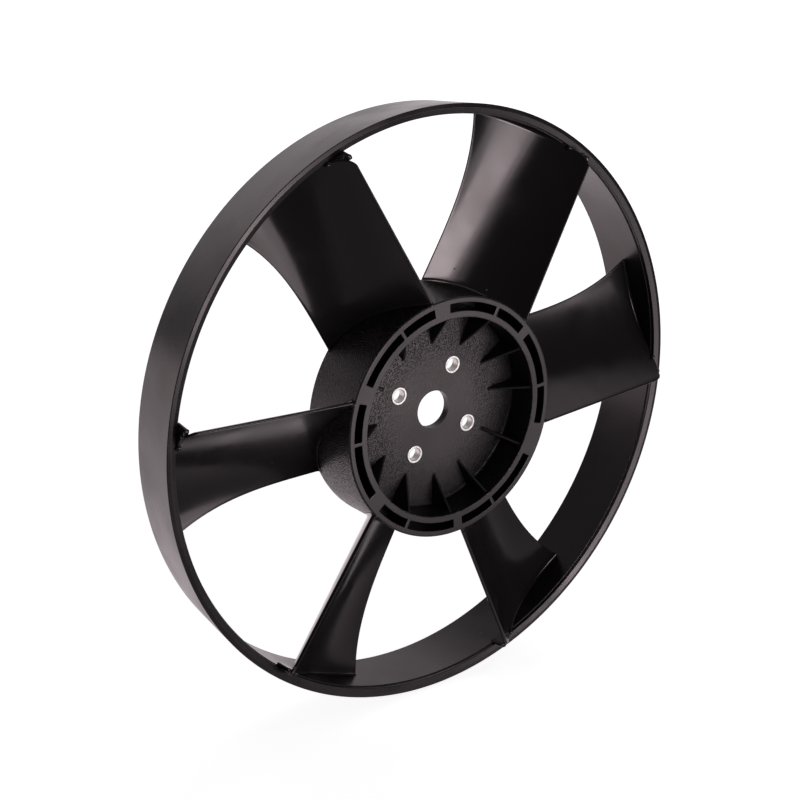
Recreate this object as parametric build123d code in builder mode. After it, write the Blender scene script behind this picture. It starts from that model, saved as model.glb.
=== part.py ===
"""Axial fan impeller: an outer ring, six cambered blades and a ribbed hub in one plastic moulding.

Four steel sleeves are pressed into the hub plate for the fixing screws. Sizes are in millimetres.
The parts are modelled lying flat, with the fan's axis on Z and its front facing +Z. The origin is on
the axis, in the plane of the ring's front edge. The last step stands the fan up with its axis along Y
and its front facing -Y. Angles run counterclockwise seen from the front.
"""

import os
from math import pi, sqrt

from build123d import *

# Driving dimensions of the ring
ring_radius = 150.0
ring_depth = 33.5
ring_draft = 4.5
ring_rear_wall = 1.8
lip_width = 4.9
lip_crest_width = 2.1
lip_fall = 0.7
lip_outer_fall = 0.4
lip_depth = 2.4
lip_shoulder = 0.6

# Driving dimensions of the hub
hub_radius = 60.5
hub_front = 15.0
hub_rear = 18.6
hub_outer_wall = 3.0
hub_edge_break = 0.8
slot_width = 4.1
inner_wall = 3.3
plate_thickness = 4.0
plate_flat_radius = 33.6
plate_fall = 1.2
bore_radius = 9.5

# Ribs and slot webs, both laid out from the blades
rib_thickness = 1.3
rib_pitch = 30.0
rib_rim_drop = 0.3
web_thickness = 1.4
web_lead = 1.3
short_slot_sweep = 19.8
long_slot_sweep = 29.7
rear_rib_thickness = 2.0
rear_rib_height = 9.0

# Fixing: four sleeves on a bolt circle
bolt_circle_radius = 23.75
bolt_count = 4
sleeve_outer_radius = 4.6
sleeve_bore_radius = 3.2
sleeve_stand_out = 0.5
sleeve_edge_break = 0.5
sleeve_fit_gap = 0.02

# Blades: the pair either side of the wide gap is turned away from it, which breaks up the blade tone
blade_count = 6
blade_pitch = 360.0 / blade_count
wide_gap_turn = 4.0
first_blade_angle = 60.0
blade_middle_thickness = 3.4
blade_edge_thickness = 1.8
blade_root_bite = 1.7
blade_tip_bite = 0.9
blade_stations = 9
root_overrun = 12.0
tip_overrun = 4.5
free_tip_lean = 3.6
free_tip_height = 9.5
root_front = (-20.1, 13.9)
root_crest = (-1.6, -15.0)
root_rear = (24.6, -18.4)
tip_front = (-22.1, 8.2)
tip_crest = (1.3, -24.0)
tip_rear = (42.0, -16.5)
tip_flare_power = 3.2
tip_web_thickness = 1.8
tip_web_height = 6.0
tip_web_front = 3.0
tip_web_rear = 5.0
tip_web_root = 3.0

# Sizes that follow
lip_inner_radius = ring_radius - lip_width
ring_bore_front = lip_inner_radius - lip_shoulder
ring_rear_radius = ring_radius - ring_draft
ring_bore_rear = ring_rear_radius - ring_rear_wall
slot_outer_radius = hub_radius - hub_outer_wall
slot_inner_radius = slot_outer_radius - slot_width
cup_radius = slot_inner_radius - inner_wall
plate_rear = -plate_thickness
rim_floor = -plate_fall
rim_rear = rim_floor - plate_thickness
blade_span = ring_bore_front - hub_radius
tip_web_sag = lip_inner_radius - sqrt(lip_inner_radius**2 - tip_front[0] ** 2)

# Angle of each blade, with the two beside the wide gap turned from it
blade_turns = (0.0, 0.0, 0.0, 0.0, -wide_gap_turn, wide_gap_turn)
blade_angles = [
    first_blade_angle + index * blade_pitch + turn for index, turn in enumerate(blade_turns)
]

# A rib behind every slot web and one midway between webs
web_angles = [angle + web_lead for angle in blade_angles]
first_gap_angle = first_blade_angle + web_lead + rib_pitch
rib_angles = web_angles + [first_gap_angle + index * blade_pitch for index in range(blade_count)]


def turned(angles):
    """Locations on the axis, one turned by each angle about it."""
    return [Location((0, 0, 0), (0, 0, angle)) for angle in angles]


# Ring, revolved from its half section
with BuildPart() as ring:
    with BuildSketch(Plane.XZ):
        with BuildLine():
            Polyline(
                (ring_radius, -lip_outer_fall),
                (ring_radius - lip_crest_width, 0),
                (lip_inner_radius, -lip_fall),
                (lip_inner_radius, -lip_depth),
                (ring_bore_front, -lip_depth),
                (ring_bore_rear, -ring_depth),
                (ring_rear_radius, -ring_depth),
                close=True,
            )
        make_face()
    revolve(axis=Axis.Z)

# Hub block: front cup, plate and rear skirt
with BuildPart() as hub:
    with BuildSketch(Plane.XZ):
        with BuildLine():
            Polyline(
                (bore_radius, plate_rear),
                (bore_radius, 0),
                (plate_flat_radius, 0),
                (cup_radius, rim_floor),
                (cup_radius, hub_front),
                (hub_radius, hub_front),
                (hub_radius, -hub_rear),
                (slot_outer_radius, -hub_rear),
                (slot_outer_radius, rim_rear),
                (cup_radius, rim_rear),
                (plate_flat_radius, plate_rear),
                close=True,
            )
        make_face()
        outer_corner = vertices().sort_by_distance((hub_radius, 0, hub_front))[:1]
        chamfer(outer_corner, length=hub_edge_break)
    revolve(axis=Axis.Z)

    # Arc slots between the two walls, a short and a long one either side of each web
    web_turn = 0.5 * web_thickness / slot_inner_radius * 180.0 / pi
    with BuildSketch(Plane.XY.offset(hub_front)):
        for web_angle in web_angles:
            long_start = web_angle + web_turn
            short_start = web_angle - web_turn - short_slot_sweep
            for start, sweep in ((long_start, long_slot_sweep), (short_start, short_slot_sweep)):
                with BuildLine():
                    outer_arc = CenterArc((0, 0), slot_outer_radius, start, sweep)
                    inner_arc = CenterArc((0, 0), slot_inner_radius, start, sweep)
                    Line(outer_arc @ 0, inner_arc @ 0)
                    Line(outer_arc @ 1, inner_arc @ 1)
                make_face()
    extrude(amount=-hub_front, mode=Mode.SUBTRACT)

# Triangular rib in the cup, from the plate's edge up to the rim of the inner wall
with BuildPart() as front_rib:
    with BuildSketch(Plane.XZ):
        with BuildLine():
            Polyline(
                (plate_flat_radius, 0),
                (cup_radius + 0.5 * inner_wall, hub_front - rib_rim_drop),
                (cup_radius + 0.5 * inner_wall, rim_rear),
                (plate_flat_radius, plate_rear),
                close=True,
            )
        make_face()
    extrude(amount=0.5 * rib_thickness, both=True)

# Lower rib in the rear recess
with BuildPart() as rear_rib:
    with BuildSketch(Plane.XZ):
        with BuildLine():
            Polyline(
                (plate_flat_radius, 0.5 * plate_rear),
                (plate_flat_radius, plate_rear),
                (slot_outer_radius + 0.5 * hub_outer_wall, rim_rear - rear_rib_height),
                (slot_outer_radius + 0.5 * hub_outer_wall, 0.5 * plate_rear),
                close=True,
            )
        make_face()
    extrude(amount=0.5 * rear_rib_thickness, both=True)

# One blade, lofted along its span; local X is the span, local Y runs from its front edge to its rear edge
station_start = hub_radius - root_overrun
station_end = ring_bore_front + tip_overrun
with BuildPart() as blade:
    for index in range(blade_stations):
        station = station_start + (station_end - station_start) * index / (blade_stations - 1)
        share = (station - hub_radius) / blade_span
        flare = max(share, 0.0) ** tip_flare_power
        front = Vector(*root_front) + (Vector(*tip_front) - Vector(*root_front)) * share
        crest = Vector(*root_crest) + (Vector(*tip_crest) - Vector(*root_crest)) * share
        rear_y = root_rear[0] + (tip_rear[0] - root_rear[0]) * flare
        rear_z = root_rear[1] + (tip_rear[1] - root_rear[1]) * share
        rear = Vector(rear_y, rear_z)
        across = (rear - front).normalized().rotate(Axis.Z, 90)
        edge_half = across * (0.5 * blade_edge_thickness)
        middle_half = across * (blade_middle_thickness - 0.5 * blade_edge_thickness)
        with BuildSketch(Plane.YZ.offset(station)):
            with BuildLine():
                upper = Bezier(front + edge_half, crest + middle_half, rear + edge_half)
                lower = Bezier(front - edge_half, crest - middle_half, rear - edge_half)
                Line(upper @ 0, lower @ 0)
                Line(upper @ 1, lower @ 1)
            make_face()
    loft(ruled=True)

    # Trimmed between the hub wall and the ring wall, with the free front corner rounded
    blade_inner_radius = hub_radius - blade_root_bite
    blade_outer_radius = ring_bore_front + blade_tip_bite
    with BuildSketch(Plane.XZ):
        with BuildLine():
            trim_rear = Line((blade_inner_radius, -ring_depth), (blade_outer_radius, -ring_depth))
            trim_wall = Line(trim_rear @ 1, (blade_outer_radius, -lip_fall))
            free_tip = TangentArc(
                trim_wall @ 1,
                (blade_outer_radius - free_tip_lean, free_tip_height),
                tangent=trim_wall % 1,
            )
            trim_front = Line(free_tip @ 1, (blade_inner_radius, hub_front))
            Line(trim_front @ 1, trim_rear @ 0)
        make_face()
    revolve(axis=Axis.Z, mode=Mode.INTERSECT)

# Small web that ties a blade's free front corner down to the lip, along the inside of the ring
with BuildPart() as tip_web:
    tip_web_outside = lip_inner_radius - tip_web_sag
    with BuildSketch(Plane.YZ.offset(tip_web_outside)):
        with BuildLine():
            Polyline(
                (tip_front[0] - tip_web_front, -tip_web_root),
                (tip_front[0] + tip_web_rear, -tip_web_root),
                (tip_front[0] + 0.5 * blade_edge_thickness, tip_web_height),
                (tip_front[0] - 0.5 * blade_edge_thickness, tip_web_height),
                close=True,
            )
        make_face()
    extrude(amount=-tip_web_thickness)

# The moulding: everything that is one piece of plastic
with BuildPart() as moulding:
    add(hub.part)
    add(ring.part)
    with Locations(*turned(blade_angles)):
        add(blade.part)
        add(tip_web.part)
    with Locations(*turned(rib_angles)):
        add(front_rib.part)
    with Locations(*turned(blade_angles)):
        add(rear_rib.part)
    with BuildSketch(Plane.XY.offset(hub_front)):
        with PolarLocations(bolt_circle_radius, bolt_count, start_angle=first_blade_angle + web_lead):
            Circle(sleeve_outer_radius + sleeve_fit_gap)
    extrude(amount=-2 * hub_front, mode=Mode.SUBTRACT)


# One sleeve, standing on the plate's rear face
with BuildPart() as sleeve:
    with Locations((bolt_circle_radius, 0, plate_rear)):
        Cylinder(
            sleeve_outer_radius,
            plate_thickness + sleeve_stand_out,
            align=(Align.CENTER, Align.CENTER, Align.MIN),
        )
    chamfer(sleeve.edges().group_by(Axis.Z)[-1], length=sleeve_edge_break)
    with Locations((bolt_circle_radius, 0, 0)):
        Hole(sleeve_bore_radius)

# Stood up, with the front facing -Y, and written out
os.makedirs("parts", exist_ok=True)
with BuildPart() as impeller:
    add(moulding.part, rotation=(90, 0, 0))
impeller.part.label = "impeller"
export_step(impeller.part, "parts/impeller.step")

for index in range(bolt_count):
    sleeve_angle = first_blade_angle + web_lead + index * 360.0 / bolt_count
    with BuildPart() as turned_sleeve:
        add(sleeve.part, rotation=(0, 0, sleeve_angle))
    with BuildPart() as placed_sleeve:
        add(turned_sleeve.part, rotation=(90, 0, 0))
    placed_sleeve.part.label = f"sleeve_{index + 1}"
    export_step(placed_sleeve.part, f"parts/sleeve_{index + 1}.step")
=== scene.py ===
"""Dresses an axial fan impeller: an outer ring, six cambered blades and a ribbed hub in black plastic.

Shapes are worked out in millimetres with the impeller lying flat: x and y across it, h along its axis,
from the plane of the ring's front edge towards the front. The last step of each mesh stands it up in the
row frame, in metres, with the front facing -Y. Angles run counterclockwise seen from the front.
"""

import logging
import math
from dataclasses import dataclass
from enum import Enum
from typing import Sequence

import bmesh
import bpy
import numpy as np
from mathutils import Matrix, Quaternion, Vector


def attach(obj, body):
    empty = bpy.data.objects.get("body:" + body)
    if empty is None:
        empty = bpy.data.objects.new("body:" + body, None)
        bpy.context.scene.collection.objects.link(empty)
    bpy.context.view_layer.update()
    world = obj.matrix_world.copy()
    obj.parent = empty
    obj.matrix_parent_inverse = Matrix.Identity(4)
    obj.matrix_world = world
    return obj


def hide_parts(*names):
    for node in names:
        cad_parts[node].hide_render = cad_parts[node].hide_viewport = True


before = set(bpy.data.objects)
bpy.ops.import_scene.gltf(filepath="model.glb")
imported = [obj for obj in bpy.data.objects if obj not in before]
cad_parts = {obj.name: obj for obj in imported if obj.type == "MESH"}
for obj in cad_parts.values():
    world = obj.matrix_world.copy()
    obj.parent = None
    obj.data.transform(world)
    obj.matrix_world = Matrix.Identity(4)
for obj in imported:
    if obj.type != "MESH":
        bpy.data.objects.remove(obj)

Array = np.ndarray
Feeds = dict[str | int, object]

MM = 0.001
BODY = "root"
MOULDING = "impeller"
IMAGE_SIZE = 800
BLADE_ANGLES = (60.0, 120.0, 180.0, 240.0, 296.0, 4.0)
WELD_DISTANCE = 2e-7
SLIVER_LENGTH = 1e-7
ANGLE_SLACK = 1e-6
LEAST_ANGLE_STEP = 1e-4
LEAST_SLOPE = 1e-9
LONGEST_REACH = 0.45
SUPPORT_SHARE = 0.35
SUPPORT_GAP = 0.02
LONGEST_SUPPORT = 0.04
SETTLING_ROUNDS = 14

log = logging.getLogger("impeller")


# ---------------------------------------------------------------------------------------------
# Surfaces


class Closure(Enum):
    """How a grid of points joins up with itself."""

    OPEN = (False, False)
    AROUND = (True, False)
    TUBE = (False, True)
    BOTH = (True, True)


@dataclass(frozen=True)
class Patch:
    """A surface given as a grid of points, of shape (rows, columns, 3), lying flat in millimetres."""

    points: Array
    closure: Closure = Closure.OPEN

    def corners(self) -> Array:
        """Joins each point to its neighbours along the rows and the columns.

        Returns:
            The four point numbers of every face, of shape (faces, 4).
        """
        rows, columns = self.points.shape[:2]
        close_rows, close_columns = self.closure.value
        row = np.arange(rows if close_rows else rows - 1)[:, None]
        column = np.arange(columns if close_columns else columns - 1)[None, :]
        next_row = (row + 1) % rows
        next_column = (column + 1) % columns
        quads = [
            row * columns + column,
            next_row * columns + column,
            next_row * columns + next_column,
            row * columns + next_column,
        ]
        return np.stack(np.broadcast_arrays(*quads), axis=-1).reshape(-1, 4)


def stood_up(points: Array) -> Array:
    """Turns a point (x, y, h) lying flat, in millimetres, into (x, -h, y) in metres.

    Args:
        points: Points lying flat, of shape (..., 3).

    Returns:
        The points in the row frame.
    """
    x, y, h = np.moveaxis(points, -1, 0)
    return np.stack([x, -h, y], axis=-1) * MM


def turned(points: Array, degrees: float) -> Array:
    """Turns points about the axis, counterclockwise seen from the front.

    Args:
        points: Points lying flat, of shape (..., 3).
        degrees: The turn.

    Returns:
        The turned points.
    """
    cosine, sine = math.cos(math.radians(degrees)), math.sin(math.radians(degrees))
    x, y, h = np.moveaxis(points, -1, 0)
    return np.stack([cosine * x - sine * y, sine * x + cosine * y, h], axis=-1)


def eased(value: Array, start: float, end: float) -> Array:
    """Rises smoothly from 0 at start to 1 at end, as the cubic 3t^2 - 2t^3.

    Args:
        value: Where the rise is read.
        start: The value at which it is 0.
        end: The value at which it is 1.

    Returns:
        The rise at each value.
    """
    share = np.clip((value - start) / (end - start), 0.0, 1.0)
    return share * share * (3.0 - 2.0 * share)


def rounded_outline(corners: Sequence[tuple[float, float, float]], closed: bool, steps: int = 4) -> Array:
    """Runs along straight lines whose corners are rounded with arcs.

    Each corner gives an arc tangent to both of its lines: the arc's centre lies on the corner's
    bisector at radius / cos(half the turn). A support point a little before and after each arc keeps
    the straight stretches flat when they are shaded.

    Args:
        corners: (radius from the axis, height, corner radius) of each corner in turn.
        closed: Whether the last corner joins the first.
        steps: Points along each arc, less one.

    Returns:
        The outline, of shape (points, 2).
    """
    data = np.array(corners, float)
    places, radii = data[:, :2], data[:, 2]
    before, after = np.roll(places, 1, axis=0) - places, np.roll(places, -1, axis=0) - places
    lengths = np.linalg.norm(before, axis=1), np.linalg.norm(after, axis=1)
    before, after = before / lengths[0][:, None], after / lengths[1][:, None]
    half_angle = 0.5 * np.arccos(np.clip((before * after).sum(axis=1), -1.0, 1.0))
    # the two ends of an open outline may double back, where the tangent is 0
    slope = np.maximum(np.tan(half_angle), LEAST_SLOPE)
    reach = np.minimum(radii / slope, LONGEST_REACH * np.minimum(*lengths))
    start, end = places + before * reach[:, None], places + after * reach[:, None]
    share = np.linspace(0.0, 1.0, steps + 1)[None, :, None]
    weight = np.sin(half_angle)[:, None, None]
    # a circular arc as a rational curve of the second degree, with the corner as its middle point
    first, middle, last = (1 - share) ** 2, 2 * share * (1 - share) * weight, share**2
    top = first * start[:, None] + middle * places[:, None]
    top = top + last * end[:, None]
    arc = top / (first + middle + last)
    longest = LONGEST_SUPPORT * np.minimum(*lengths)
    support = np.minimum(SUPPORT_SHARE * reach + SUPPORT_GAP, longest)[:, None]
    lead_in, lead_out = start + before * support, end + after * support
    outline = np.concatenate([lead_in[:, None], arc, lead_out[:, None]], axis=1)
    if not closed:
        outline[0] = places[0]
        outline[-1] = places[-1]
    return outline.reshape(-1, 2)


def revolved(outline: Array, angles: Array) -> Array:
    """Sweeps an outline about the axis: a point is (r cos a, r sin a, h).

    Args:
        outline: (r, h) of each point, of shape (points, 2).
        angles: The angles in degrees, in increasing order.

    Returns:
        Points of shape (angles, points, 3).
    """
    turn = np.radians(angles)[:, None]
    radius, height = outline[None, :, 0], outline[None, :, 1]
    return np.stack(np.broadcast_arrays(radius * np.cos(turn), radius * np.sin(turn), height), axis=-1)


def make_piece(
    name: str,
    patches: Sequence[Patch],
    finish: bpy.types.Material,
    nodes: Sequence[str],
    sharp: float = 40.0,
) -> bpy.types.Object:
    """Joins patches into one closed mesh and puts it in the place of CAD nodes.

    Args:
        name: The piece's name.
        patches: The surfaces, whose shared borders have the same points.
        finish: The material.
        nodes: The CAD nodes that the piece stands for.
        sharp: Edges that bend by more than this many degrees stay crisp.

    Returns:
        The piece, riding on the impeller's body.
    """
    starts = np.cumsum([0] + [patch.points[..., 0].size for patch in patches[:-1]])
    points = np.concatenate([stood_up(patch.points).reshape(-1, 3) for patch in patches])
    quads = np.concatenate([patch.corners() + start for patch, start in zip(patches, starts)])
    mesh = bpy.data.meshes.new(name)
    mesh.from_pydata(points, [], quads)
    shell = bmesh.new()
    shell.from_mesh(mesh)
    bmesh.ops.remove_doubles(shell, verts=shell.verts, dist=WELD_DISTANCE)
    bmesh.ops.dissolve_degenerate(shell, edges=shell.edges, dist=SLIVER_LENGTH)
    bmesh.ops.recalc_face_normals(shell, faces=shell.faces)
    shell.to_mesh(mesh)
    shell.free()
    mesh.shade_smooth()
    mesh.set_sharp_from_angle(angle=math.radians(sharp))
    piece = bpy.data.objects.new(name, mesh)
    bpy.context.scene.collection.objects.link(piece)
    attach(piece, BODY)
    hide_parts(*nodes)
    mesh.materials.append(finish)
    return piece


# ---------------------------------------------------------------------------------------------
# Finishes


class Grain(Enum):
    """Where the mould's surface is left pebbled."""

    POLISHED = 0
    PEBBLED_HUB = 1


@dataclass
class NodeSheet:
    """The node tree of a material or a world, with short ways of adding to it."""

    owner: bpy.types.Material | bpy.types.World

    @classmethod
    def of_material(cls, name: str) -> "NodeSheet":
        """Starts a material.

        Args:
            name: The material's name.

        Returns:
            The new material's node tree.
        """
        material = bpy.data.materials.new(name)
        material.use_nodes = True
        return cls(material)

    @property
    def shader(self) -> bpy.types.Node:
        """The material's shader."""
        return self.owner.node_tree.nodes["Principled BSDF"]

    def feed(self, node: bpy.types.Node, feeds: Feeds) -> None:
        """Sets or links a node's inputs.

        Args:
            node: The node.
            feeds: A value or another node's output for each input, by its name or place.
        """
        for key, value in feeds.items():
            if isinstance(value, bpy.types.NodeSocket):
                self.owner.node_tree.links.new(value, node.inputs[key])
            else:
                node.inputs[key].default_value = value

    def add(self, kind: str, feeds: Feeds | None = None, **settings: object) -> bpy.types.Node:
        """Adds a node.

        Args:
            kind: Blender's name for the kind of node.
            feeds: What its inputs get.
            settings: Properties of the node, by name.

        Returns:
            The new node.
        """
        node = self.owner.node_tree.nodes.new(kind)
        for name, value in settings.items():
            setattr(node, name, value)
        self.feed(node, feeds or {})
        return node

    def math(self, operation: str, *values: object) -> bpy.types.NodeSocket:
        """Works out a number from numbers or other outputs.

        Args:
            operation: Blender's name for the sum.
            values: Numbers, or outputs that give them.

        Returns:
            The output with the result.
        """
        return self.add("ShaderNodeMath", dict(enumerate(values)), operation=operation).outputs[0]

    def noise(self, scale: float, detail: float) -> bpy.types.NodeSocket:
        """A noise pattern fixed to the object.

        Args:
            scale: Cells to a metre.
            detail: Octaves of finer noise.

        Returns:
            The output with the noise, mostly between 0.3 and 0.7.
        """
        place = self.add("ShaderNodeTexCoord").outputs["Object"]
        feeds = {"Scale": scale, "Detail": detail, "Vector": place}
        return self.add("ShaderNodeTexNoise", feeds).outputs[0]

    def ranged(
        self, value: bpy.types.NodeSocket, low: float, high: float, first: float, last: float
    ) -> bpy.types.NodeSocket:
        """Maps a number from one range to another, and holds it there.

        Args:
            value: The output that is read.
            low: The reading that gives first.
            high: The reading that gives last.
            first: The result at low.
            last: The result at high.

        Returns:
            The output with the result.
        """
        feeds = {"Value": value, "From Min": low, "From Max": high, "To Min": first, "To Max": last}
        return self.add("ShaderNodeMapRange", feeds, interpolation_type="SMOOTHSTEP").outputs[0]

    def bump(
        self, height: bpy.types.NodeSocket, distance: float, normal: bpy.types.NodeSocket | None = None
    ) -> bpy.types.NodeSocket:
        """Turns a height into a way that the surface faces.

        Args:
            height: The output with the height.
            distance: How far a height of 1 stands out, in metres.
            normal: The way that the surface faces already, if not its own.

        Returns:
            The output with the new way.
        """
        feeds = {"Distance": distance, "Height": height}
        if normal is not None:
            feeds["Normal"] = normal
        return self.add("ShaderNodeBump", feeds).outputs[0]

    def mirrored(self, path: bpy.types.Node) -> bpy.types.NodeSocket:
        """Picks out the rays that come by way of a mirror or through glass.

        Args:
            path: The tree's light path node.

        Returns:
            The output, 1 for those rays and 0 for the others.
        """
        return self.math("MAXIMUM", path.outputs["Is Glossy Ray"], path.outputs["Is Transmission Ray"])


@dataclass(frozen=True)
class MouldedPlastic:
    """Black plastic as it leaves the mould: nearly black, glossy, with faint flow marks.

    Scales are cells to a metre, and heights and radii are in metres.
    """

    name: str
    grain: Grain = Grain.POLISHED
    colour: tuple[float, float, float] = (0.0120, 0.0108, 0.0112)
    sheen_tint: tuple[float, float, float] = (1.0, 0.87, 0.90)
    ior: float = 1.5
    roughness: float = 0.13
    roughness_spread: float = 0.12
    smudge_scale: float = 28.0
    smudge_range: tuple[float, float] = (0.35, 0.7)
    ripple_scale: float = 45.0
    ripple_height: float = 0.00006
    pip_scale: float = 260.0
    pip_share: float = 0.04
    pip_least: float = 0.07
    pip_spread: float = 0.08
    pip_height: float = 0.00025
    pebble_scale: float = 1500.0
    pebble_height: float = 0.00014
    pebble_smoothness: float = 0.35
    pebble_range: tuple[float, float] = (0.1, 0.6)
    plate_share: float = 0.25
    plate_fade: tuple[float, float] = (0.020, 0.036)
    cup_edge: tuple[float, float] = (0.0502, 0.0508)
    outside_share: float = 3.5
    outside_edge: tuple[float, float] = (0.0602, 0.0604)

    def material(self) -> bpy.types.Material:
        """Builds the finish.

        Returns:
            The material.
        """
        sheet = NodeSheet.of_material(self.name)
        smudge = sheet.noise(self.smudge_scale, detail=4.0)
        roughest = self.roughness + self.roughness_spread
        roughness = sheet.ranged(smudge, *self.smudge_range, self.roughness, roughest)
        normal = sheet.bump(sheet.noise(self.ripple_scale, detail=2.0), self.ripple_height)
        if self.grain is Grain.PEBBLED_HUB:
            normal = sheet.bump(self.pebbled(sheet), self.pebble_height, normal)
        else:
            normal = sheet.bump(self.pips(sheet), self.pip_height, normal)
        feeds = {"Base Color": (*self.colour, 1.0), "Specular Tint": (*self.sheen_tint, 1.0)}
        sheet.feed(sheet.shader, {**feeds, "IOR": self.ior, "Roughness": roughness, "Normal": normal})
        return sheet.owner

    def pips(self, sheet: NodeSheet) -> bpy.types.NodeSocket:
        """Tiny raised specks, one in a few cells, as bubbles and dust leave them.

        A speck is a cone: 1 less the distance from the middle of its cell as a share of the speck's
        size.

        Args:
            sheet: The material's nodes.

        Returns:
            The output with the height, from 0 to 1.
        """
        place = sheet.add("ShaderNodeTexCoord").outputs["Object"]
        cells = sheet.add("ShaderNodeTexVoronoi", {"Scale": self.pip_scale, "Vector": place}, feature="F1")
        split = sheet.add("ShaderNodeSeparateColor", {0: cells.outputs["Color"]})
        chosen = sheet.math("LESS_THAN", split.outputs[0], self.pip_share)
        size = sheet.math("MULTIPLY_ADD", split.outputs[1], self.pip_spread, self.pip_least)
        away = sheet.math("DIVIDE", cells.outputs["Distance"], size)
        cone = sheet.math("MAXIMUM", sheet.math("SUBTRACT", 1.0, away), 0.0)
        return sheet.math("MULTIPLY", chosen, cone)

    def pebbled(self, sheet: NodeSheet) -> bpy.types.NodeSocket:
        """Rounded pebbles over the cup's floor and the outside of the hub, and none on the rim.

        A pebble falls off with the distance from the middle of its cell. The pebbles are lower towards
        the middle of the plate, and higher on the outside of the hub.

        Args:
            sheet: The material's nodes.

        Returns:
            The output with the height, from 0 to 1 on the floor and to the outside share on the outside.
        """
        place = sheet.add("ShaderNodeTexCoord").outputs["Object"]
        feeds = {"Scale": self.pebble_scale, "Smoothness": self.pebble_smoothness, "Vector": place}
        cells = sheet.add("ShaderNodeTexVoronoi", feeds, feature="SMOOTH_F1")
        split = sheet.add("ShaderNodeSeparateXYZ", {0: place})
        squares = [sheet.math("POWER", split.outputs[axis], 2.0) for axis in ("X", "Z")]
        radius = sheet.math("SQRT", sheet.math("ADD", *squares))
        plate = sheet.ranged(radius, *self.plate_fade, self.plate_share, 1.0)
        floor = sheet.math("MULTIPLY", plate, sheet.ranged(radius, *self.cup_edge, 1.0, 0.0))
        outside = sheet.ranged(radius, *self.outside_edge, 0.0, self.outside_share)
        height = sheet.ranged(cells.outputs["Distance"], *self.pebble_range, 1.0, 0.0)
        return sheet.math("MULTIPLY", height, sheet.math("MAXIMUM", floor, outside))


@dataclass(frozen=True)
class ZincPlate:
    """Bright zinc plating on turned steel."""

    name: str = "bright_zinc"
    colour: tuple[float, float, float] = (0.78, 0.76, 0.74)
    roughness: float = 0.42
    roughness_spread: float = 0.15
    haze_scale: float = 700.0
    haze_range: tuple[float, float] = (0.3, 0.7)

    def material(self) -> bpy.types.Material:
        """Builds the finish.

        Returns:
            The material.
        """
        sheet = NodeSheet.of_material(self.name)
        haze = sheet.noise(self.haze_scale, detail=3.0)
        roughest = self.roughness + self.roughness_spread
        roughness = sheet.ranged(haze, *self.haze_range, self.roughness, roughest)
        feeds = {"Base Color": (*self.colour, 1.0), "Metallic": 1.0, "Roughness": roughness}
        sheet.feed(sheet.shader, feeds)
        return sheet.owner


# ---------------------------------------------------------------------------------------------
# Sub-assemblies, sizes in millimetres


@dataclass
class OuterRing:
    """The duct ring, with a stepped lip around its front edge."""

    radius: float = 150.0
    depth: float = 33.5
    draft: float = 4.5
    rear_wall: float = 1.8
    lip_width: float = 4.9
    crest_width: float = 2.1
    lip_fall: float = 0.7
    outer_fall: float = 0.4
    lip_depth: float = 2.4
    shoulder: float = 0.6
    edge_round: float = 0.35
    step_round: float = 0.2
    shoulder_round: float = 0.25
    segments: int = 720
    roughness: float = 0.24

    @property
    def lip_inner(self) -> float:
        """Radius of the lip's inner edge."""
        return self.radius - self.lip_width

    @property
    def bore_front(self) -> float:
        """Inner radius behind the lip."""
        return self.lip_inner - self.shoulder

    @property
    def bore_rear(self) -> float:
        """Inner radius at the rear edge."""
        return self.radius - self.draft - self.rear_wall

    def wall(self, height: Array) -> Array:
        """Inner radius of the wall, along the straight line from front to rear.

        Args:
            height: Heights above the plane of the front edge.

        Returns:
            The radius at each height.
        """
        share = (-height - self.lip_depth) / (self.depth - self.lip_depth)
        return self.bore_front + (self.bore_rear - self.bore_front) * np.clip(share, 0.0, 1.0)

    def outline(self) -> Array:
        """Goes around the ring's section.

        Returns:
            The radius and height of each point, of shape (points, 2).
        """
        rear_radius = self.radius - self.draft
        corners = [
            (self.radius, -self.outer_fall, self.edge_round),
            (self.radius - self.crest_width, 0.0, self.edge_round),
            (self.lip_inner, -self.lip_fall, self.edge_round),
            (self.lip_inner, -self.lip_depth, self.step_round),
            (self.bore_front, -self.lip_depth, self.shoulder_round),
            (self.bore_rear, -self.depth, self.edge_round),
            (rear_radius, -self.depth, self.edge_round),
        ]
        return rounded_outline(corners, closed=True)

    def build(self) -> bpy.types.Object:
        """Makes the ring.

        Returns:
            The dressed piece.
        """
        angles = np.linspace(0.0, 360.0, self.segments, endpoint=False)
        patch = Patch(revolved(self.outline(), angles), Closure.BOTH)
        finish = MouldedPlastic("ring_plastic", roughness=self.roughness).material()
        return make_piece("outer_ring", [patch], finish, [MOULDING])


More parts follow.
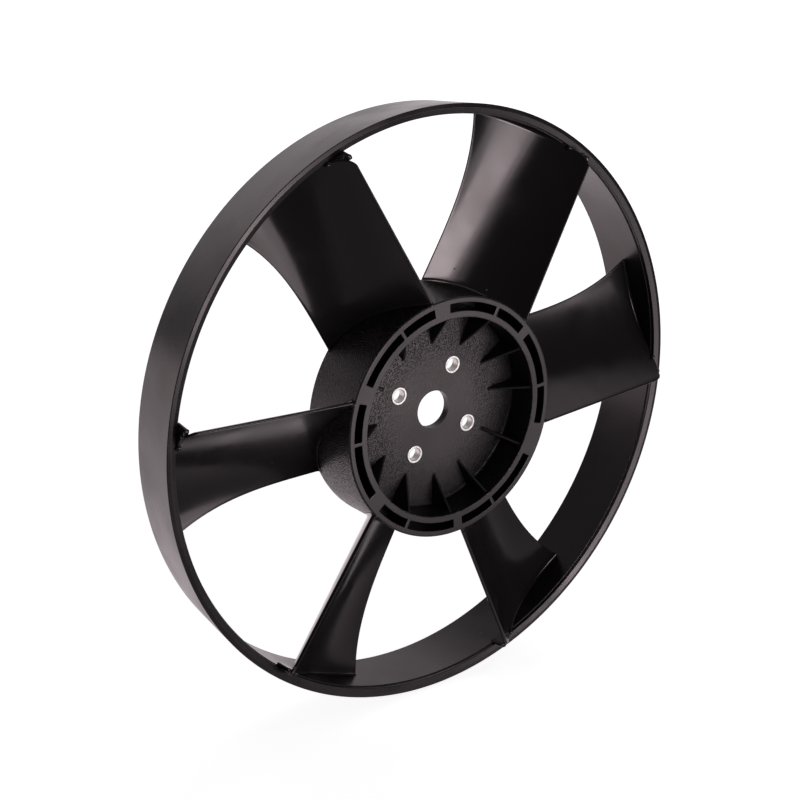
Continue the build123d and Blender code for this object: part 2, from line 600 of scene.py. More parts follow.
@dataclass
class Hub:
    """The hub: a cup around a drilled plate, a slotted rim and a skirt behind."""

    radius: float = 60.5
    front: float = 15.0
    rear: float = 18.6
    outer_wall: float = 3.0
    slot_width: float = 4.1
    inner_wall: float = 3.3
    plate: float = 4.0
    flat_radius: float = 33.6
    fall: float = 1.2
    bore: float = 9.5
    edge_round: float = 0.9
    small_round: float = 0.3
    floor_fillet: float = 1.2
    web_thickness: float = 1.4
    short_sweep: float = 19.8
    long_sweep: float = 29.7
    screw_circle: float = 23.75
    screw_count: int = 4
    screw_hole: float = 4.62
    screw_turn: float = 61.3
    web_angles: tuple[float, ...] = (61.3, 121.3, 181.3, 241.3, 297.3, 5.3)
    angle_step: float = 1.5
    slot_end_round: float = 0.25
    slot_end_slack: float = 0.005
    slot_end_steps: tuple[float, ...] = (-0.3, 0.0, 0.1, 0.18, 0.23, 0.25, 0.26)
    rim_join_inset: float = 0.3
    hole_steps: tuple[float, ...] = (1.0, 0.6, 0.25, 0.05, 0.0)
    side_steps: int = 12
    roughness: float = 0.3

    @property
    def slot_outer(self) -> float:
        """Outer radius of the slots."""
        return self.radius - self.outer_wall

    @property
    def slot_inner(self) -> float:
        """Inner radius of the slots."""
        return self.slot_outer - self.slot_width

    @property
    def cup_radius(self) -> float:
        """Inner radius of the cup."""
        return self.slot_inner - self.inner_wall

    @property
    def slot_middle(self) -> float:
        """Radius midway across the slots."""
        return 0.5 * (self.slot_outer + self.slot_inner)

    @property
    def inner_rim(self) -> float:
        """Radius on the flat rim, between the cup and the slots."""
        return 0.5 * (self.cup_radius + self.slot_inner)

    @property
    def outer_rim(self) -> float:
        """Radius on the flat rim, between the slots and the rounded edge."""
        return 0.5 * (self.slot_outer + self.radius) - self.rim_join_inset

    @property
    def screw_pitch(self) -> float:
        """Degrees from one screw to the next."""
        return 360.0 / self.screw_count

    def slots(self) -> Array:
        """Places a long and a short slot beside each web.

        Returns:
            Start and end angle of each slot, of shape (slots, 2).
        """
        web = np.array(self.web_angles)
        half_web = math.degrees(0.5 * self.web_thickness / self.slot_inner)
        long_slots = np.stack([web + half_web, web + half_web + self.long_sweep], axis=-1)
        short_slots = np.stack([web - half_web - self.short_sweep, web - half_web], axis=-1)
        return np.concatenate([long_slots, short_slots]) % 360.0

    def angles(self) -> Array:
        """Takes even steps about the axis, with extra ones where a slot begins or ends.

        Returns:
            The angles in degrees, in increasing order.
        """
        even = np.arange(0.0, 360.0, self.angle_step)
        quarter = self.screw_turn + 0.5 * self.screw_pitch + self.screw_pitch * np.arange(self.screw_count)
        inward = np.degrees(np.array(self.slot_end_steps) / self.slot_middle)
        slots = self.slots()
        ends = np.concatenate([slots[:, :1] + inward, slots[:, 1:] - inward]).ravel()
        merged = np.sort(np.concatenate([even, quarter, ends]) % 360.0)
        keep = np.concatenate([[True], np.diff(merged) > LEAST_ANGLE_STEP])
        return merged[keep]

    def open_share(self, angles: Array) -> Array:
        """How deep the slots are at each angle, from 0 on a bridge to 1 in a slot.

        At a slot's end the rim turns down by a quarter circle of the end's rounding, and then falls
        straight to the slot's floor.

        Args:
            angles: The angles in degrees.

        Returns:
            The share of the slot's full depth.
        """
        slots = self.slots()
        sweep = (slots[:, 1] - slots[:, 0]) % 360.0
        past_start = (angles[:, None] - slots[:, 0]) % 360.0
        inside = np.minimum(past_start, sweep - past_start).max(axis=1)
        distance = np.radians(np.clip(inside, 0.0, None)) * self.slot_middle
        turn = self.slot_end_round
        rounding = turn - np.sqrt(np.clip(turn**2 - np.minimum(distance, turn) ** 2, 0.0, None))
        return np.where(distance > turn + self.slot_end_slack, 1.0, rounding / self.front)

    def shell(self, angles: Array) -> Patch:
        """Everything of the hub outside the flat middle of the plate.

        The outline runs from the flat middle across the cup's floor, up the cup, over the slotted rim,
        down the outside and back under the plate. Over the slots it is mixed from two outlines with as
        many points, one that stays level with the rim and one that dips to the slot's floor.

        Args:
            angles: The angles in degrees.

        Returns:
            The surface.
        """
        tiny, edge = self.small_round, self.edge_round
        under = -self.fall - self.plate
        before_slots = [
            (self.flat_radius, 0.0, 0.0),
            (self.cup_radius, -self.fall, self.floor_fillet),
            (self.cup_radius, self.front, tiny),
            (self.inner_rim, self.front, 0.0),
        ]
        dip = [
            (self.inner_rim, self.front, 0.0),
            (self.slot_inner, self.front, tiny),
            (self.slot_inner, 0.0, tiny),
            (self.slot_outer, 0.0, tiny),
            (self.slot_outer, self.front, tiny),
            (self.outer_rim, self.front, 0.0),
        ]
        after_slots = [
            (self.outer_rim, self.front, 0.0),
            (self.radius, self.front, edge),
            (self.radius, -self.rear, tiny),
            (self.slot_outer, -self.rear, tiny),
            (self.slot_outer, under, tiny),
            (self.cup_radius, under, tiny),
            (self.flat_radius, -self.plate, 0.0),
        ]
        first = rounded_outline(before_slots, closed=False)
        open_dip = rounded_outline(dip, closed=False)
        last = rounded_outline(after_slots, closed=False)
        level_dip = open_dip.copy()
        level_dip[:, 1] = self.front
        share = self.open_share(angles)[:, None, None]
        dips = revolved(level_dip, angles) * (1.0 - share) + revolved(open_dip, angles) * share
        points = np.concatenate([revolved(first, angles), dips[:, 1:-1], revolved(last, angles)], axis=1)
        return Patch(points, Closure.AROUND)

    def bore_wall(self, angles: Array) -> Patch:
        """Works out the wall of the hole in the middle.

        Args:
            angles: The angles in degrees.

        Returns:
            The surface.
        """
        outline = np.array([[self.bore, 0.0], [self.bore, -self.plate]])
        return Patch(revolved(outline, angles), Closure.AROUND)

    def quarter(self, angles: Array, middle: float) -> Patch:
        """A quarter of the flat middle of the plate, with the hole for one sleeve.

        Straight lines run from the hole to the quarter's border: along the outer arc, down one side,
        back along the bore and up the other side. The same lines serve the front and the rear face, and
        the hole's wall joins them.

        Args:
            angles: The hub's angles in degrees.
            middle: The angle of the hole.

        Returns:
            The surface.
        """
        offset = (angles - middle + 180.0) % 360.0 - 180.0
        arc = np.sort(offset[np.abs(offset) <= 0.5 * self.screw_pitch + ANGLE_SLACK])
        radii = np.linspace(self.bore, self.flat_radius, self.side_steps)
        start, end = np.full_like(radii, arc[0]), np.full_like(radii, arc[-1])
        turn = np.concatenate([arc[:-1], end[:0:-1], arc[:0:-1], start[:-1]])
        radius = np.concatenate([
            np.full(arc.size - 1, self.flat_radius),
            radii[:0:-1],
            np.full(arc.size - 1, self.bore),
            radii[:-1],
        ])
        border = radius[:, None] * np.stack([np.cos(np.radians(turn)), np.sin(np.radians(turn))], axis=-1)
        centre = np.array([self.screw_circle, 0.0])
        outward = border - centre
        hole = centre + outward / np.linalg.norm(outward, axis=1)[:, None] * self.screw_hole
        share = np.array(self.hole_steps)
        front = hole[:, None] + (border - hole)[:, None] * share[None, :, None]
        plan = np.concatenate([front, front[:, ::-1]], axis=1)
        height = np.concatenate([np.zeros(share.size), np.full(share.size, -self.plate)])
        height = np.broadcast_to(height, plan.shape[:2])
        points = np.concatenate([plan, height[..., None]], axis=-1)
        return Patch(turned(points, middle), Closure.AROUND)

    def build(self) -> bpy.types.Object:
        """Makes the hub.

        Returns:
            The dressed piece.
        """
        angles = self.angles()
        middles = [self.screw_turn + self.screw_pitch * index for index in range(self.screw_count)]
        quarters = [self.quarter(angles, middle) for middle in middles]
        patches = [self.shell(angles), self.bore_wall(angles), *quarters]
        finish = MouldedPlastic("hub_plastic", Grain.PEBBLED_HUB, roughness=self.roughness).material()
        return make_piece("hub", patches, finish, [MOULDING])


@dataclass(frozen=True)
class Pip:
    """A small glossy pip, an oval ball sunk in the blade near the lip."""

    place: tuple[float, float, float]
    half_size: tuple[float, float, float]
    levels: int = 13
    points: int = 24

    def skin(self) -> Array:
        """Works out the ball: a point is (cos u cos v, cos u sin v, sin u) times the half sizes.

        Returns:
            Points of shape (levels, points around, 3).
        """
        tilt = np.linspace(-0.5 * np.pi, 0.5 * np.pi, self.levels)[:, None]
        turn = np.linspace(0.0, 2.0 * np.pi, self.points, endpoint=False)[None, :]
        ball = (np.cos(tilt) * np.cos(turn), np.cos(tilt) * np.sin(turn), np.sin(tilt) + 0.0 * turn)
        sizes = zip(ball, self.place, self.half_size)
        return np.stack([place + size * wave for wave, place, size in sizes], axis=-1)


@dataclass
class BladeSet:
    """Six cambered blades between the hub and the ring, unevenly spaced about the axis."""

    hub: Hub
    ring: OuterRing
    middle_thickness: float = 3.4
    edge_thickness: float = 1.8
    root_front: tuple[float, float] = (-20.1, 13.9)
    root_crest: tuple[float, float] = (-1.6, -15.0)
    root_rear: tuple[float, float] = (24.6, -18.4)
    tip_front: tuple[float, float] = (-22.1, 8.2)
    tip_crest: tuple[float, float] = (1.3, -24.0)
    tip_rear: tuple[float, float] = (42.0, -16.5)
    flare_power: float = 3.2
    root_bite: float = 1.7
    tip_bite: float = 0.9
    lean: float = 3.6
    lean_height: float = 9.5
    root_fillet: float = 1.3
    tip_fillet: float = 1.0
    corner_round: float = 4.5
    corner_share: float = 0.55
    web_thickness: float = 2.6
    web_height: float = 5.8
    web_front: float = 2.2
    web_rear: float = 11.0
    web_root: float = 3.0
    web_cap: float = 0.5
    web_squareness: float = 0.6
    web_inset: float = 0.2
    web_levels: int = 14
    web_cap_levels: int = 7
    web_points: int = 36
    pips: tuple[Pip, ...] = (
        Pip((143.6, -12.9, -0.2), (1.3, 1.7, 1.4)),
        Pip((143.7, -19.2, 3.4), (0.9, 1.4, 1.4)),
    )
    edge_ease: float = 0.013
    edge_steps: int = 6
    chord_steps: int = 44
    span_steps: int = 40
    root_steps: tuple[float, ...] = (-0.2, 0.0, 0.08, 0.2, 0.4, 0.7, 1.0)
    tip_steps: tuple[float, ...] = (3.0, 2.4, 1.9, 1.6, 1.3, 1.1, 0.9, 0.6, 0.35, 0.15, 0.05, 0.0, 0.0)
    tip_fillet_fade: tuple[float, float] = (1.5, 5.0)
    lip_overlap: float = 0.3
    front_clearance: float = 0.05
    overrun: float = 1.2
    sharp: float = 60.0

    def tip_radius(self, height: Array) -> Array:
        """Radius of the blade's outer end at a height.

        Inside the ring it bites into the wall. In front of the ring it leans inwards along an arc that
        leaves the wall straight and ends at the lean height.

        Args:
            height: Heights above the plane of the ring's front edge.

        Returns:
            The radius at each height.
        """
        start = -self.ring.lip_fall
        rise = self.lean_height - start
        arc = (self.lean**2 + rise**2) / (2.0 * self.lean)
        above = np.clip(height - start, 0.0, rise * self.overrun)
        bent = self.ring.lip_inner + self.lip_overlap - arc + np.sqrt(arc**2 - above**2)
        return np.where(height > start, bent, self.ring.wall(height) + self.tip_bite)

    def middle(self, station: Array, chord: Array) -> tuple[Array, Array, Array, Array]:
        """A point on the blade's middle surface and the way across it.

        At each station the section is a curve of the second degree from the front edge to the rear
        edge, drawn towards a crest between them. Its three points move in straight lines from root to
        tip, and the rear one also sweeps back by the flare power of the share of the span.

        Args:
            station: Distance out along the blade's own x axis.
            chord: From 0 at the front edge to 1 at the rear edge.

        Returns:
            y and h of the point, and y and h of the unit vector across the blade.
        """
        span = self.ring.bore_front - self.hub.radius
        share = (station - self.hub.radius) / span
        flare = np.clip(share, 0.0, None) ** self.flare_power

        def moved(root: tuple[float, float], tip: tuple[float, float]) -> tuple[Array, Array]:
            """Moves a control point to this share of the span.

            Args:
                root: Its y and h at the root.
                tip: Its y and h at the tip.

            Returns:
                Its y and h at each station.
            """
            return root[0] + (tip[0] - root[0]) * share, root[1] + (tip[1] - root[1]) * share

        front_y, front_h = moved(self.root_front, self.tip_front)
        crest_y, crest_h = moved(self.root_crest, self.tip_crest)
        rear_y = self.root_rear[0] + (self.tip_rear[0] - self.root_rear[0]) * flare
        rear_h = self.root_rear[1] + (self.tip_rear[1] - self.root_rear[1]) * share
        before, between, after = (1.0 - chord) ** 2, 2.0 * chord * (1.0 - chord), chord**2
        y = before * front_y + between * crest_y + after * rear_y
        h = before * front_h + between * crest_h + after * rear_h
        length = np.hypot(rear_y - front_y, rear_h - front_h)
        return y, h, -(rear_h - front_h) / length, (rear_y - front_y) / length

    def chord_loop(self) -> tuple[Array, Array]:
        """Goes around the section, out along one side and back along the other.

        Returns:
            The chord share at each point of the loop, and which side it is on, 1 or -1.
        """
        ease = self.edge_ease * (1.0 - np.cos(np.linspace(0.0, 0.5 * np.pi, self.edge_steps)))
        inner = np.linspace(self.edge_ease, 1.0 - self.edge_ease, self.chord_steps)[1:-1]
        out = np.concatenate([ease, inner, 1.0 - ease[::-1]])
        chord = np.concatenate([out, out[-2:0:-1]])
        side = np.concatenate([np.ones(out.size), -np.ones(out.size - 2)])
        return chord, side

    def half_thickness(self, chord: Array) -> Array:
        """Half the blade's thickness, fullest in the middle and round at both edges.

        Args:
            chord: From 0 at the front edge to 1 at the rear edge.

        Returns:
            The half thickness at each share of the chord.
        """
        edge = 0.5 * self.edge_thickness
        belly = edge + 2.0 * (self.middle_thickness - self.edge_thickness) * chord * (1.0 - chord)
        inset = np.clip(np.minimum(chord, 1.0 - chord) / self.edge_ease, 0.0, 1.0)
        return belly * np.sqrt(1.0 - (1.0 - inset) ** 2)

    def station_at(self, radius: Array, chord: Array, side: Array) -> Array:
        """Finds the station at which the blade's skin reaches a radius.

        The station is the square root of radius squared less y squared, and y is read again at each
        new station until both settle.

        Args:
            radius: Distance from the axis.
            chord: Share of the chord.
            side: 1 or -1, for the side of the blade.

        Returns:
            The station of each point.
        """
        station = radius
        for _ in range(SETTLING_ROUNDS):
            y, _, across_y, _ = self.middle(station, chord)
            y = y + across_y * side * self.half_thickness(chord)
            station = np.sqrt(radius**2 - y**2)
        return station

    def blade(self) -> Array:
        """Works out the skin of one blade on a grid of radius and place around the section.

        Returns:
            Points of shape (rows along the span, points around the section, 3).
        """
        chord, side = self.chord_loop()
        end = np.full_like(chord, self.ring.bore_front)
        length = math.dist(self.tip_front, self.tip_rear)
        corner = self.fillet(chord * length, self.corner_round)
        for _ in range(SETTLING_ROUNDS):
            station = self.station_at(end, chord, side)
            end = self.tip_radius(self.middle(station, chord)[1]) - self.corner_share * corner
        root = self.hub.radius
        near = np.array([-self.root_bite, -self.root_bite, *self.root_steps, self.root_fillet])
        far = np.array(self.tip_steps)
        inner = root + near[:, None] + 0.0 * end[None, :]
        outer = end[None, :] - far[:, None]
        share = np.linspace(0.0, 1.0, self.span_steps)[1:-1, None]
        between = inner[-1:] * (1.0 - share) + outer[:1] * share
        radius = np.concatenate([inner, between, outer])
        chord, side = np.broadcast_to(chord, radius.shape), np.broadcast_to(side, radius.shape)
        station = self.station_at(radius, chord, side)
        y, h, across_y, across_h = self.middle(station, chord)
        half = self.half_thickness(chord)
        roundness = np.clip((end[None, :] - radius) / (0.5 * self.edge_thickness), 0.0, 1.0)
        half = half * np.sqrt(1.0 - (1.0 - roundness) ** 2)
        half = half + self.fillet(radius - root, self.root_fillet)
        wall_distance = self.ring.wall(h) - radius
        behind_lip = eased(-h, *self.tip_fillet_fade)
        half = half + self.fillet(wall_distance, self.tip_fillet) * behind_lip * (roundness > 0.0)
        half[0] = 0.0
        y, h = y + across_y * side * half, h + across_h * side * half
        return np.stack([station, y, np.minimum(h, self.front_limit(radius))], axis=-1)

    def front_limit(self, radius: Array) -> Array:
        """Height that no blade passes, falling straight from the hub's front to the free tips.

        Args:
            radius: Distance from the axis.

        Returns:
            The height at each radius.
        """
        span = self.ring.lip_inner - self.lean - self.hub.radius
        share = np.clip((radius - self.hub.radius) / span, 0.0, self.overrun)
        return self.hub.front - self.front_clearance - (self.hub.front - self.lean_height) * share

    @staticmethod
    def fillet(distance: Array, size: float) -> Array:
        """Extra thickness at a distance from a wall, along a quarter circle tangent to both.

        Args:
            distance: Distance from the wall.
            size: Radius of the quarter circle.

        Returns:
            The extra thickness.
        """
        left = np.clip(size - distance, 0.0, size)
        return size - np.sqrt(size**2 - left**2)

    def corner_web(self) -> Array:
        """Works out the web that ties a blade's free front corner down to the lip.

        It follows the lip's inner edge. Each level is a squared-off oval: sgn(cos t)|cos t|^n along the
        ring and the same with the sine across it, where n is the squareness. Its length shrinks in a
        straight line from foot to top, and the cap closes over in a quarter circle.

        Returns:
            Points of shape (levels, points around, 3).
        """
        cap_start = self.web_height - self.web_cap
        cap = self.web_cap * np.sin(np.linspace(0.0, 0.5 * np.pi, self.web_cap_levels))[1:]
        levels = np.linspace(-self.web_root, cap_start, self.web_levels)
        height = np.concatenate([levels, cap_start + cap])[:, None]
        share = (height + self.web_root) / (self.web_height + self.web_root)
        closing = np.sqrt(1.0 - np.clip((height - cap_start) / self.web_cap, 0.0, 1.0) ** 2)
        turn = np.linspace(0.0, 2.0 * np.pi, self.web_points, endpoint=False)[None, :]
        waves = (np.cos(turn), np.sin(turn))
        along, across = (np.sign(wave) * np.abs(wave) ** self.web_squareness for wave in waves)
        front = self.tip_front[0] - self.web_front * (1.0 - share) - 0.5 * self.edge_thickness * share
        rear = self.tip_front[0] + self.web_rear * (1.0 - share) + 0.5 * self.edge_thickness * share
        y = 0.5 * (front + rear) + 0.5 * (rear - front) * closing * along
        outer = self.ring.lip_inner + self.web_inset
        radius = outer - 0.5 * self.web_thickness * (1.0 - across * closing)
        points = np.stack(np.broadcast_arrays(np.sqrt(radius**2 - y**2), y, height), axis=-1)
        points[0] = points[0].mean(axis=0)
        return points

    def build(self) -> bpy.types.Object:
        """Makes all the blades.

        Returns:
            The dressed piece.
        """
        skin = self.blade()
        shapes = [skin, self.corner_web()] + [pip.skin() for pip in self.pips]
        patches = [Patch(turned(shape, angle), Closure.TUBE) for angle in BLADE_ANGLES for shape in shapes]
        finish = MouldedPlastic("blade_plastic").material()
        return make_piece("blades", patches, finish, [MOULDING], self.sharp)


@dataclass
class RibSet:
    """Thin triangular ribs in the cup and lower ones in the recess behind."""

    hub: Hub
    between_angles: tuple[float, ...] = (91.3, 151.3, 211.3, 271.3, 331.3, 31.3)
    thickness: float = 1.3
    rear_thickness: float = 2.0
    rear_height: float = 9.0
    rim_drop: float = 0.3
    sunk: float = 2.0
    fillet: float = 0.6
    length_steps: int = 34
    crowding: float = 1.2
    edge_steps: int = 5
    wall_steps: tuple[float, ...] = (1.0, 0.6, 0.35, 0.15, 0.05, 0.0)
    side_steps: tuple[float, ...] = (0.0, 0.35, 0.55, 0.7, 0.82, 0.92)
    roughness: float = 0.35
    sharp: float = 50.0

    def rib(self, end: tuple[float, float], wall: float, facing: float, thickness: float) -> Array:
        """Works out one upright rib along the x axis, under a straight sloping edge.

        Its edge runs from where the plate starts to fall to the end point. Across the rib, the section
        goes up one side, over a half-round edge and down the other side, and it widens by a quarter
        circle near the plate and near the wall.

        Args:
            end: (radius, height above the plate's flat face) at which the edge ends, in the wall.
            wall: Radius of the wall that the rib meets.
            facing: 1 for the front face of the plate, -1 for the rear face.
            thickness: The rib's thickness.

        Returns:
            Points of shape (steps along the rib, points across it, 3).
        """
        start = self.hub.flat_radius
        share = np.linspace(0.0, 1.0, self.length_steps)
        close = wall - self.fillet * np.array(self.wall_steps)
        spread = start + (end[0] - start) * share**self.crowding
        radius = np.sort(np.concatenate([spread, close]))[:, None]
        edge = end[1] * (radius - start) / (end[0] - start)
        slope = self.hub.fall / (self.hub.cup_radius - start)
        floor = -facing * slope * np.minimum(radius - start, self.hub.cup_radius - start)
        half = 0.5 * thickness
        arc = np.linspace(0.0, 0.5 * np.pi, self.edge_steps)
        side_low, side_high = floor - self.sunk, edge - half
        side = side_low + (side_high - side_low) * np.array(self.side_steps)
        over = side_high + half * np.sin(arc)
        height = np.concatenate([side, over], axis=1)
        over_width = np.broadcast_to(half * np.cos(arc), over.shape)
        width = np.concatenate([np.full_like(side, half), over_width], axis=1)
        low_flare = BladeSet.fillet(np.clip(height - floor, 0.0, None), self.fillet)
        wall_flare = BladeSet.fillet(np.clip(wall - radius, 0.0, None), self.fillet)
        width = width * (1.0 + np.maximum(low_flare, wall_flare) / half)
        width[0], width[-1] = 0.0, 0.0
        offset = np.concatenate([width, -width[:, -2::-1]], axis=1)
        height = np.concatenate([height, height[:, -2::-1]], axis=1)
        base = 0.0 if facing > 0 else -self.hub.plate
        return np.stack([np.broadcast_to(radius, offset.shape), offset, base + facing * height], axis=-1)

    def build(self) -> bpy.types.Object:
        """Makes all the ribs.

        Returns:
            The dressed piece.
        """
        hub = self.hub
        front_end = (hub.cup_radius + 0.5 * hub.inner_wall, hub.front - self.rim_drop)
        rear_end = (hub.slot_outer + 0.5 * hub.outer_wall, self.rear_height + hub.fall)
        front = self.rib(front_end, hub.cup_radius, 1.0, self.thickness)
        rear = self.rib(rear_end, hub.slot_outer, -1.0, self.rear_thickness)
        front_angles = [angle for pair in zip(hub.web_angles, self.between_angles) for angle in pair]
        patches = [Patch(turned(front, angle), Closure.TUBE) for angle in front_angles]
        patches += [Patch(turned(rear, angle), Closure.TUBE) for angle in BLADE_ANGLES]
        finish = MouldedPlastic("rib_plastic", roughness=self.roughness).material()
        return make_piece("ribs", patches, finish, [MOULDING], self.sharp)


@dataclass
class ScrewSleeve:
    """A plated steel sleeve in the plate, for one fixing screw."""

    hub: Hub
    index: int
    outer: float = 4.6
    bore: float = 3.2
    stand_out: float = 0.5
    outer_round: float = 0.45
    bore_round: float = 0.35
    rear_round: float = 0.2
    angle_step: float = 5.0
    sharp: float = 30.0

    def build(self, finish: bpy.types.Material) -> bpy.types.Object:
        """Makes the sleeve.

        Args:
            finish: Its material.

        Returns:
            The dressed piece.
        """
        corners = [
            (self.bore, -self.hub.plate, self.rear_round),
            (self.outer, -self.hub.plate, self.rear_round),
            (self.outer, self.stand_out, self.outer_round),
            (self.bore, self.stand_out, self.bore_round),
        ]
        ring = revolved(rounded_outline(corners, closed=True), np.arange(0.0, 360.0, self.angle_step))
        ring = ring + np.array([self.hub.screw_circle, 0.0, 0.0])
        ring = turned(ring, self.hub.screw_turn + self.hub.screw_pitch * self.index)
        name = f"sleeve_{self.index + 1}"
        patch = Patch(ring, Closure.BOTH)
        return make_piece(f"{name}_turned", [patch], finish, [name], self.sharp)


# ---------------------------------------------------------------------------------------------
# Studio


@dataclass(frozen=True)
class Softbox:
    """A rectangular lamp that faces the impeller's middle."""

    name: str
    azimuth: float
    elevation: float
    width_angle: float
    height_angle: float
    brightness: float
    tilt: float = 0.0
    colour: tuple[float, float, float] = (1.0, 0.97, 0.98)
    distance: float = 2.2

    def build(self) -> None:
        """Hangs the lamp, with azimuth 0 in front at -Y and 90 at +X, and tilts it in its own plane.

        Its sides follow from the angles that it covers, and its power from its brightness: a lamp of
        area A that looks as bright as L gives pi A L.
        """
        width = 2.0 * self.distance * math.tan(math.radians(0.5 * self.width_angle))
        height = 2.0 * self.distance * math.tan(math.radians(0.5 * self.height_angle))
        lamp = bpy.data.lights.new(self.name, "AREA")
        lamp.shape, lamp.size, lamp.size_y = "RECTANGLE", width, height
        lamp.energy, lamp.color = math.pi * width * height * self.brightness, self.colour
        thing = bpy.data.objects.new(self.name, lamp)
        bpy.context.scene.collection.objects.link(thing)
        side, lift = math.radians(self.azimuth), math.radians(self.elevation)
        away = Vector((math.sin(side) * math.cos(lift), -math.cos(side) * math.cos(lift), math.sin(lift)))
        thing.location = away * self.distance
        facing = (-away).to_track_quat("-Z", "Y")
        thing.rotation_euler = (facing @ Quaternion((0.0, 0.0, 1.0), math.radians(self.tilt))).to_euler()


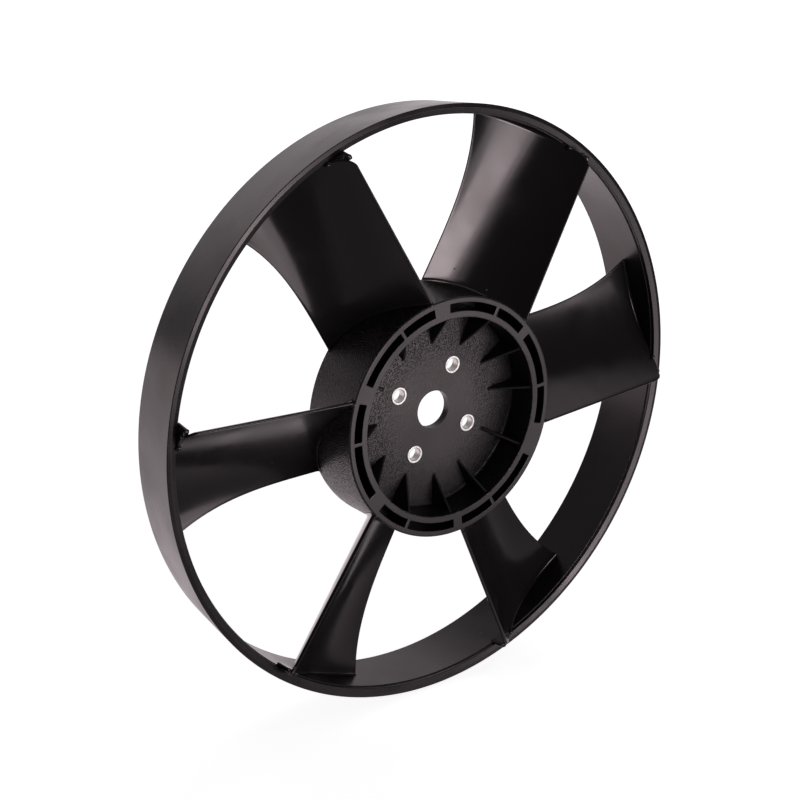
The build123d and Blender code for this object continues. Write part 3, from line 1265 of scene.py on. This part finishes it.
@dataclass
class Studio:
    """The pale floor, the white surroundings, the lamps and the camera, in metres."""

    floor_height: float = -0.1502
    floor_back: float = 12.0
    floor_side: float = 12.0
    floor_front: float = 0.24
    floor_grey: float = 0.8
    floor_glow: float = 0.89
    glow_range: tuple[float, float] = (0.4, 1.2)
    sheen_front: float = 0.05
    sheen_back: float = 1.0
    sheen_range: tuple[float, float] = (-0.14, 0.24)
    sheen_losses: tuple[tuple[str, float], ...] = (("Green", 0.11), ("Blue", 0.08))
    room_front: float = 0.03
    room_back: float = 0.2
    room_range: tuple[float, float] = (0.0, 0.6)
    room_colour: tuple[float, float, float] = (1.0, 0.93, 0.95)
    backdrop_way: tuple[float, float, float] = (0.253, 0.945, 0.208)
    backdrop_edge: tuple[float, float] = (0.84, 0.92)
    camera_place: tuple[float, float, float] = (-0.61918, -0.81009, 0.37705)
    camera_target: tuple[float, float, float] = (-0.01210, 0.01088, 0.00426)
    focal_pixels: float = 2235.2
    sensor: float = 36.0
    nearest: float = 0.01
    farthest: float = 100.0
    lamps: tuple[Softbox, ...] = (
        Softbox("front_strip", 18.0, -6.0, 60.0, 24.0, 2.2, tilt=-44.0),
        Softbox("front_core", 13.0, -2.0, 36.0, 8.0, 8.0, tilt=-32.0, distance=2.1),
        Softbox("front_left_box", -8.0, 12.0, 13.0, 11.0, 0.9),
        Softbox("back_right_box", 128.0, 44.0, 26.0, 24.0, 1.2, distance=2.6),
        Softbox("right_top_box", 78.0, 55.0, 34.0, 22.0, 0.8),
    )

    def build_camera(self) -> None:
        """Sets the camera, level and at its own distance."""
        data = bpy.data.cameras.new("camera")
        data.sensor_width = self.sensor
        data.lens = self.focal_pixels / IMAGE_SIZE * self.sensor
        data.clip_start, data.clip_end = self.nearest, self.farthest
        thing = bpy.data.objects.new("camera", data)
        thing.location = self.camera_place
        aim = Vector(self.camera_target) - Vector(self.camera_place)
        thing.rotation_euler = aim.to_track_quat("-Z", "Y").to_euler()
        bpy.context.scene.collection.objects.link(thing)
        bpy.context.scene.camera = thing

    def build_floor(self) -> None:
        """Lays the floor, a pale sheet that keeps the impeller's shadow.

        It is a matt grey that also glows: fully white for the camera at a distance, and a little less
        near the impeller, where the lamps add the rest and the shadow shows. Mirrored rays see its glow
        grow from front to back, with some of its green and blue lost.
        """
        side, front, back = self.floor_side, -self.floor_front, self.floor_back
        corners = [(-side, front), (side, front), (side, back), (-side, back)]
        mesh = bpy.data.meshes.new("floor")
        mesh.from_pydata([(x, y, self.floor_height) for x, y in corners], [], [(0, 1, 2, 3)])
        floor = bpy.data.objects.new("floor", mesh)
        bpy.context.scene.collection.objects.link(floor)
        sheet = NodeSheet.of_material("white_floor")
        path = sheet.add("ShaderNodeLightPath")
        mirrored = sheet.mirrored(path)
        tint = sheet.add("ShaderNodeCombineColor", {"Red": 1.0})
        for name, loss in self.sheen_losses:
            lost = sheet.math("MULTIPLY", mirrored, loss)
            sheet.feed(tint, {name: sheet.math("SUBTRACT", 1.0, lost)})
        place = sheet.add("ShaderNodeTexCoord").outputs["Object"]
        distance = sheet.add("ShaderNodeVectorMath", {0: place}, operation="LENGTH")
        whiteness = sheet.ranged(distance.outputs["Value"], *self.glow_range, self.floor_glow, 1.0)
        seen = sheet.math("MULTIPLY", path.outputs["Is Camera Ray"], whiteness)
        split = sheet.add("ShaderNodeSeparateXYZ", {0: place})
        sheen = sheet.ranged(split.outputs["Y"], *self.sheen_range, self.sheen_front, self.sheen_back)
        glow = sheet.math("ADD", seen, sheet.math("MULTIPLY", mirrored, sheen))
        grey = (self.floor_grey, self.floor_grey, self.floor_grey, 1.0)
        sheet.feed(sheet.shader, {"Base Color": grey, "Roughness": 1.0, "Specular IOR Level": 0.0})
        sheet.feed(sheet.shader, {"Emission Color": tint.outputs[0], "Emission Strength": glow})
        mesh.materials.append(sheet.owner)

    def build_world(self) -> None:
        """Surrounds the scene with white for the camera and a pale backdrop behind a dim room.

        Light grows with a ray's y, from the room's front to its back. Mirrored rays also see the pale
        backdrop, whose share grows with the dot product of the ray's direction and the backdrop's.
        """
        world = bpy.data.worlds.new("surroundings")
        world.use_nodes = True
        bpy.context.scene.world = world
        world.node_tree.nodes.clear()
        sheet = NodeSheet(world)
        seen = sheet.add("ShaderNodeBackground", {"Color": (1.0, 1.0, 1.0, 1.0)})
        way = sheet.add("ShaderNodeTexCoord").outputs["Generated"]
        split = sheet.add("ShaderNodeSeparateXYZ", {0: way})
        facing = sheet.add("ShaderNodeVectorMath", {0: way, 1: self.backdrop_way}, operation="DOT_PRODUCT")
        path = sheet.add("ShaderNodeLightPath")
        light = sheet.ranged(split.outputs["Y"], *self.room_range, self.room_front, self.room_back)
        near = sheet.ranged(facing.outputs["Value"], *self.backdrop_edge, 0.0, 1.0)
        backdrop = sheet.math("MULTIPLY", sheet.mirrored(path), near)
        strength = sheet.math("MAXIMUM", light, backdrop)
        room = sheet.add("ShaderNodeBackground", {"Color": (*self.room_colour, 1.0), "Strength": strength})
        feeds = {0: path.outputs["Is Camera Ray"], 1: room.outputs[0], 2: seen.outputs[0]}
        mix = sheet.add("ShaderNodeMixShader", feeds)
        sheet.add("ShaderNodeOutputWorld", {"Surface": mix.outputs[0]})

    def build(self) -> None:
        """Sets up everything around the impeller."""
        self.build_camera()
        self.build_floor()
        self.build_world()
        for lamp in self.lamps:
            lamp.build()


def main() -> None:
    """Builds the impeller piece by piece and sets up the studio."""
    logging.basicConfig(level=logging.INFO, format="%(name)s: %(message)s")
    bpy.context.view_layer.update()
    ring, hub = OuterRing(), Hub()
    zinc = ZincPlate().material()
    pieces = [ring.build(), hub.build(), BladeSet(hub, ring).build(), RibSet(hub).build()]
    pieces += [ScrewSleeve(hub, index).build(zinc) for index in range(hub.screw_count)]
    for piece in pieces:
        log.info("%s has %d faces", piece.name, len(piece.data.polygons))
    scene = bpy.context.scene
    scene.view_settings.view_transform = "Standard"
    Studio().build()


if __name__ == "__main__":
    main()
